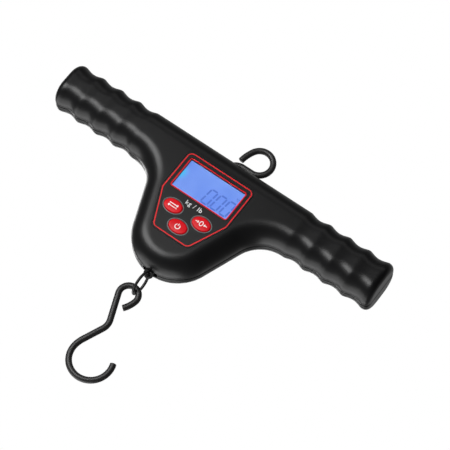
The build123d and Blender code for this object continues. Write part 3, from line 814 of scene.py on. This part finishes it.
def link_ring():
    """Closed ring in the Y and Z plane, thinned a little where its ends are joined."""
    middle_z = (RING_LOW[2] + RING_HIGH[2]) / 2
    radius = RING_HIGH[1] - RING_WIRE
    length, around = 120, 20
    points, faces = [], []
    for i in range(length):
        angle = 2 * math.pi * i / length
        off_joint = abs(i - length * 0.35)
        gauge = RING_WIRE - RING_NECK * math.exp(-((off_joint / 1.2) ** 2))
        for k in range(around):
            turn = 2 * math.pi * k / around
            reach = radius + gauge * math.cos(turn)
            points.append((gauge * math.sin(turn), reach * math.sin(angle),
                           middle_z + reach * math.cos(angle)))
            a, b = i * around, (i + 1) % length * around
            j = (k + 1) % around
            faces.append((a + k, a + j, b + j, b + k))
    ring = new_object("link_ring_wire", points, faces, hook_black)
    settle(ring, "link_ring", "hook_black", "link_ring", smooth_deg=60)


# ---------------------------------------------------------------- face


def outline_band(name, outer, inner, material, slot, height=PRINT_PROUD):
    """Printed line between two outlines on the face."""
    points, faces = band(outer, inner, -HALF_DEPTH - height, -HALF_DEPTH + 0.02)
    piece = new_object(name, points, faces, material)
    settle(piece, "housing", slot, smooth_deg=60)


def printed_lines():
    """Red line round the panel and red border of the display."""
    edges = []
    for inset in (0.75, 1.5):
        edges.append(rounded_outline(inset_corners(PANEL_CORNERS, inset), PANEL_ROUND - inset + 0.8))
    outline_band("panel_line", edges[0], edges[1], line_red, "print_red")
    edges = []
    for inset in (0.3, 1.05):
        edges.append(box_outline(LENS_LOW[0] + inset, LENS_HIGH[0] - inset,
                                 LENS_LOW[2] + inset, LENS_HIGH[2] - inset, 2.0 - inset))
    outline_band("display_line", edges[0], edges[1], line_red, "print_red")


def button_rims():
    """Pale grey ring round each button's opening: a painted highlight in place of the light caught by
    the chamfer there.
    """
    for name, (x, z) in button_centres().items():
        outer = oval_outline(x, z, BUTTON_HALF_X + 0.75, BUTTON_HALF_Z + 0.75)
        inner = oval_outline(x, z, BUTTON_HALF_X + 0.22, BUTTON_HALF_Z + 0.22)
        # The pale grey band is a painted highlight of the chamfer's edge; it shares the white print's
        # slot.
        outline_band(name + "_rim", outer, inner, painted_rim_highlight, "print_white", 0.05)


def crown_depth(u):
    """Depth of a button's face at u, from 0 in the middle to 1 at its edge."""
    top = -HALF_DEPTH - BUTTON_PROUD
    if u <= CROWN_EDGE:
        return top + CROWN_FALL * (u / CROWN_EDGE) ** 2
    roll = (u - CROWN_EDGE) / (1 - CROWN_EDGE)
    return top + CROWN_FALL + EDGE_ROLL * (1 - math.sqrt(max(1 - roll**2, 0)))


def button_cap(name, x, z):
    """Domed oval cap with its flange and stem behind."""
    low, high = box_mm(name)
    flange = (high[0] - x) / BUTTON_HALF_X
    levels = [(k / 40, crown_depth(k / 40)) for k in range(1, 41)]
    levels += [(1.0, low[1] + FLANGE_FRONT), (flange, low[1] + FLANGE_FRONT),
               (flange, low[1] + FLANGE_BACK), (0.25, low[1] + FLANGE_BACK), (0.2, high[1])]
    steps = 96
    points = [(x, crown_depth(0), z)]
    faces = []
    for level, (share, y) in enumerate(levels):
        points += [(a, y, b) for a, b in
                   oval_outline(x, z, BUTTON_HALF_X * share, BUTTON_HALF_Z * share, steps)]
        for i in range(steps):
            j = (i + 1) % steps
            if level == 0:
                faces.append((0, 1 + j, 1 + i))
            else:
                a, b = 1 + (level - 1) * steps, 1 + level * steps
                faces.append((a + i, a + j, b + j, b + i))
    points.append((x, high[1], z))
    last = 1 + (len(levels) - 1) * steps
    faces += [(last + i, last + (i + 1) % steps, len(points) - 1) for i in range(steps)]
    cap = new_object(name + "_cap", points, faces, button_red)
    settle(cap, name, "button_red", name, smooth_deg=40)


def stroke(route, width, depth, closed=False):
    """Flat printed stroke of a constant width along a route in X and Z."""
    count = len(route)
    points, faces = [], []
    for i, (x, z) in enumerate(route):
        before = route[i - 1] if closed or i else route[i]
        after = route[(i + 1) % count] if closed or i < count - 1 else route[i]
        along = Vector((after[0] - before[0], after[1] - before[1])).normalized()
        for side in (0.5, -0.5):
            a, b = x - along.y * width * side, z + along.x * width * side
            points.append((a, depth(a, b), b))
    for i in range(count if closed else count - 1):
        j = (i + 1) % count
        faces.append((2 * i + 1, 2 * j + 1, 2 * j, 2 * i))
    return points, faces


def legend(name, x, z, routes, width=0.52):
    """White sign printed on a button's dome."""

    def depth(a, b):
        u = math.hypot((a - x) / BUTTON_HALF_X, (b - z) / BUTTON_HALF_Z)
        return crown_depth(u) - 0.03

    parts = []
    for route, closed in routes:
        placed = [(x + a, z + b) for a, b in route]
        parts.append(stroke(placed, width, depth, closed))
    points, faces = joined(parts)
    sign = new_object(name + "_sign", points, faces, print_white)
    settle(sign, name, "print_white")


def fine(start, end, pieces=8):
    """Points along a straight stroke, close enough to follow the dome."""
    return [(start[0] + (end[0] - start[0]) * k / pieces,
             start[1] + (end[1] - start[1]) * k / pieces) for k in range(pieces + 1)]


def arc(x, z, radius_x, radius_z, start_deg, end_deg, pieces=28):
    angles = [math.radians(start_deg + (end_deg - start_deg) * k / pieces)
              for k in range(pieces + 1)]
    return [(x + radius_x * math.cos(a), z + radius_z * math.sin(a)) for a in angles]


def arrow(tail, tip, barb=0.9):
    """Shaft and head of a small arrow along X."""
    back = -barb if tip[0] > tail[0] else barb
    return [
        (fine(tail, tip), False),
        (fine((tip[0] + back, tip[1] + barb), tip, 4), False),
        (fine((tip[0] + back, tip[1] - barb), tip, 4), False),
    ]


def button_signs():
    """Signs in place of words: swap for units, arrows to zero for tare, and power."""
    centres = button_centres()
    swap = arrow((-3.4, 0.95), (3.4, 0.95)) + arrow((3.4, -0.95), (-3.4, -0.95))
    zero = [(arc(0, 0, 1.15, 1.7, 0, 348), True)]
    zero += arrow((-4.6, 0), (-2.1, 0), 0.8) + arrow((4.6, 0), (2.1, 0), 0.8)
    power = [(arc(0, -0.25, 1.75, 1.75, 125, 415), False), (fine((0, 0.3), (0, 2.1)), False)]
    legend("unit_button", *centres["unit_button"], swap)
    legend("tare_button", *centres["tare_button"], zero)
    legend("power_button", *centres["power_button"], power)


def unit_words():
    """Small generic unit line under the display."""
    text = bpy.data.curves.new("unit_line", "FONT")
    text.body = "kg / lb"
    text.size = 4.6 * MM
    text.align_x = "CENTER"
    text.align_y = "CENTER"
    text.extrude = 0.03 * MM
    text.space_character = 1.15
    source = bpy.data.objects.new("unit_source", text)
    bpy.context.scene.collection.objects.link(source)
    graph = bpy.context.evaluated_depsgraph_get()
    mesh = bpy.data.meshes.new_from_object(source.evaluated_get(graph))
    bpy.data.objects.remove(source)
    middle = Vector((0, -HALF_DEPTH - 0.02, UNIT_LINE_Z)) * MM
    mesh.transform(Matrix.Translation(middle) @ Matrix.Rotation(math.radians(90), 4, "X"))
    mesh.materials.clear()
    mesh.materials.append(print_white)
    words = bpy.data.objects.new("unit_line", mesh)
    bpy.context.scene.collection.objects.link(words)
    settle(words, "housing", "print_white")


def display_sheet():
    """Lit glass, a little rounded at its rims, in the CAD glass's place."""
    outline = box_outline(GLASS_LOW[0], GLASS_HIGH[0], GLASS_LOW[2], GLASS_HIGH[2], 0.6, 3)
    inner = box_outline(GLASS_LOW[0] + 0.3, GLASS_HIGH[0] - 0.3,
                        GLASS_LOW[2] + 0.3, GLASS_HIGH[2] - 0.3, 0.4, 3)
    count = len(outline)
    rows = [(inner, GLASS_LOW[1]), (outline, GLASS_LOW[1] + 0.3), (outline, GLASS_HIGH[1])]
    points = [(x, y, z) for line, y in rows for x, z in line]
    faces = [tuple(range(count - 1, -1, -1)), tuple(range(2 * count, 3 * count))]
    for row in range(2):
        for i in range(count):
            j = (i + 1) % count
            faces.append((row * count + i, row * count + j,
                          (row + 1) * count + j, (row + 1) * count + i))
    sheet = new_object("display_sheet", points, faces, display_material())
    settle(sheet, "housing", "display_glass", "lcd_glass")


def digit_segments(x, z, half_x, half_z, width, lean):
    """Six dark segments of a zero, as slanted bars with pointed ends."""

    def at(a, b):
        return (x + a + lean * b, z + b)

    bars = [((-half_x, half_z), (half_x, half_z)), ((-half_x, -half_z), (half_x, -half_z))]
    for side in (-half_x, half_x):
        bars += [((side, half_z), (side, 0)), ((side, 0), (side, -half_z))]
    parts = []
    for (a0, b0), (a1, b1) in bars:
        run = Vector((a1 - a0, b1 - b0))
        along = run.normalized()
        across = Vector((-along.y, along.x)) * width / 2
        tip0 = Vector((a0, b0)) + along * 0.25
        tip1 = Vector((a1, b1)) - along * 0.25
        heel = along * width / 2
        ring = [tip0, tip0 + heel + across, tip1 - heel + across, tip1,
                tip1 - heel - across, tip0 + heel - across]
        points = [(at(*p)[0], GLASS_LOW[1] - 0.03, at(*p)[1]) for p in ring]
        parts.append((points, [tuple(reversed(range(6)))]))
    return parts


def digits():
    """Zero reading at the right of the display, with its point and unit mark."""
    parts = []
    for x in DIGIT_X:
        parts += digit_segments(x, DIGIT_Z, half_x=2.55, half_z=5.9, width=1.3, lean=0.12)
    depth = GLASS_LOW[1] - 0.03
    for x0, x1, z0, z1 in ((6.0, 7.0, -23.3, -22.3), (19.0, 20.0, -7.4, -6.6),
                           (20.4, 21.4, -7.4, -6.6), (19.7, 20.7, -8.6, -7.9)):
        parts.append(([(x0, depth, z0), (x1, depth, z0), (x1, depth, z1), (x0, depth, z1)],
                      [(0, 1, 2, 3)]))
    points, faces = joined(parts)
    marks = new_object("display_digits", points, faces, segment_material())
    settle(marks, "housing", "display_glass")


# ---------------------------------------------------------------- studio

VIEW_AZIMUTH = 16.18
VIEW_ELEVATION = -19.54
VIEW_ROLL = 38.86
VIEW_DISTANCE = 1301.0
VIEW_TARGET = (20.17, 0.0, -22.51)
LENS_MM = 154.2
FLOOR_Z = -1700
FLOOR_REACH = 60000
FLOOR_GLOW = 0.55  # keeps the floor pale to the camera without lighting the object


def direction(azimuth, elevation):
    """Unit vector towards a place round the object, 0, 0 being straight in front."""
    a, e = math.radians(azimuth), math.radians(elevation)
    return Vector((math.sin(a) * math.cos(e), -math.cos(a) * math.cos(e), math.sin(e)))


def make_camera():
    """Camera at the fitted viewing angle, rolled about its own line of sight."""
    camera = bpy.data.objects.new("camera", bpy.data.cameras.new("camera"))
    bpy.context.scene.collection.objects.link(camera)
    camera.data.lens = LENS_MM
    camera.data.sensor_width = 36.0
    camera.data.clip_end = 20.0
    back = direction(VIEW_AZIMUTH, VIEW_ELEVATION)
    target = Vector(VIEW_TARGET) * MM
    camera.location = target + back * VIEW_DISTANCE * MM
    look = (-back).to_track_quat("-Z", "Y")
    roll = Matrix.Rotation(math.radians(VIEW_ROLL), 4, "Z")
    camera.rotation_mode = "QUATERNION"
    camera.rotation_quaternion = (look.to_matrix().to_4x4() @ roll).to_quaternion()
    bpy.context.scene.camera = camera


def soft_light(name, azimuth, elevation, distance, width, height, power):
    """Rectangular studio light aimed at the object."""
    data = bpy.data.lights.new(name, "AREA")
    data.shape = "RECTANGLE"
    data.size = width
    data.size_y = height
    data.energy = power
    lamp = bpy.data.objects.new(name, data)
    bpy.context.scene.collection.objects.link(lamp)
    back = direction(azimuth, elevation)
    lamp.location = back * distance + Vector((0, 0, -0.03))
    lamp.rotation_mode = "QUATERNION"
    lamp.rotation_quaternion = (-back).to_track_quat("-Z", "Y")


def make_world():
    """White to the camera; for light, bright behind the object and dim in front of it."""
    world = bpy.data.worlds.new("studio")
    bpy.context.scene.world = world
    world.use_nodes = True
    tree = world.node_tree
    background = tree.nodes["Background"]
    place = tree.nodes.new("ShaderNodeTexCoord")
    split = tree.nodes.new("ShaderNodeSeparateXYZ")
    behind = tree.nodes.new("ShaderNodeMapRange")
    behind.inputs["From Min"].default_value = -0.35
    behind.inputs["From Max"].default_value = 0.6
    behind.inputs["To Min"].default_value = 0.05
    behind.inputs["To Max"].default_value = 0.45
    rays = tree.nodes.new("ShaderNodeLightPath")
    choose = tree.nodes.new("ShaderNodeMapRange")
    tree.links.new(place.outputs["Generated"], split.inputs["Vector"])
    tree.links.new(split.outputs["Y"], behind.inputs["Value"])
    tree.links.new(rays.outputs["Is Camera Ray"], choose.inputs["Value"])
    tree.links.new(behind.outputs["Result"], choose.inputs["To Min"])
    choose.inputs["To Max"].default_value = 1.0
    tree.links.new(choose.outputs["Result"], background.inputs["Strength"])
    background.inputs["Color"].default_value = (1.0, 1.0, 1.0, 1.0)


def make_floor():
    """Pale floor well below the hanging object."""
    far, level = FLOOR_REACH, FLOOR_Z
    points = [(-far, -far, level), (far, -far, level), (far, far, level), (-far, far, level)]
    pale = finish_material("floor_pale", (0.86, 0.86, 0.86), 0.8, mottle=0.02, patch=3.0)
    shader = pale.node_tree.nodes["Principled BSDF"]
    rays = pale.node_tree.nodes.new("ShaderNodeLightPath")
    glow = pale.node_tree.nodes.new("ShaderNodeMapRange")
    glow.inputs["To Max"].default_value = FLOOR_GLOW
    pale.node_tree.links.new(rays.outputs["Is Camera Ray"], glow.inputs["Value"])
    pale.node_tree.links.new(glow.outputs["Result"], shader.inputs["Emission Strength"])
    shader.inputs["Emission Color"].default_value = (1.0, 1.0, 1.0, 1.0)
    floor = new_object("floor", points, [(0, 1, 2, 3)], pale)


def make_studio():
    bpy.context.scene.view_settings.view_transform = "Standard"
    make_camera()
    make_world()
    make_floor()
    soft_light("front_box", -28, -3, 1.3, 0.9, 0.5, 18)
    soft_light("low_fill", 10, -118, 1.1, 1.6, 1.27, 16)
    soft_light("top_box", -10, 46, 1.2, 1.2, 0.45, 1.6)
    soft_light("back_box", 205, 14, 1.4, 1.4, 0.9, 12)


# ---------------------------------------------------------------- build

make_studio()
paint_cad_nodes()
front_shell()
rear_shell()
battery_bays()
screw_wells()
s_hook()
top_hook()
link_ring()
printed_lines()
button_rims()
for button, (centre_x, centre_z) in button_centres().items():
    button_cap(button, centre_x, centre_z)
button_signs()
unit_words()
display_sheet()
digits()
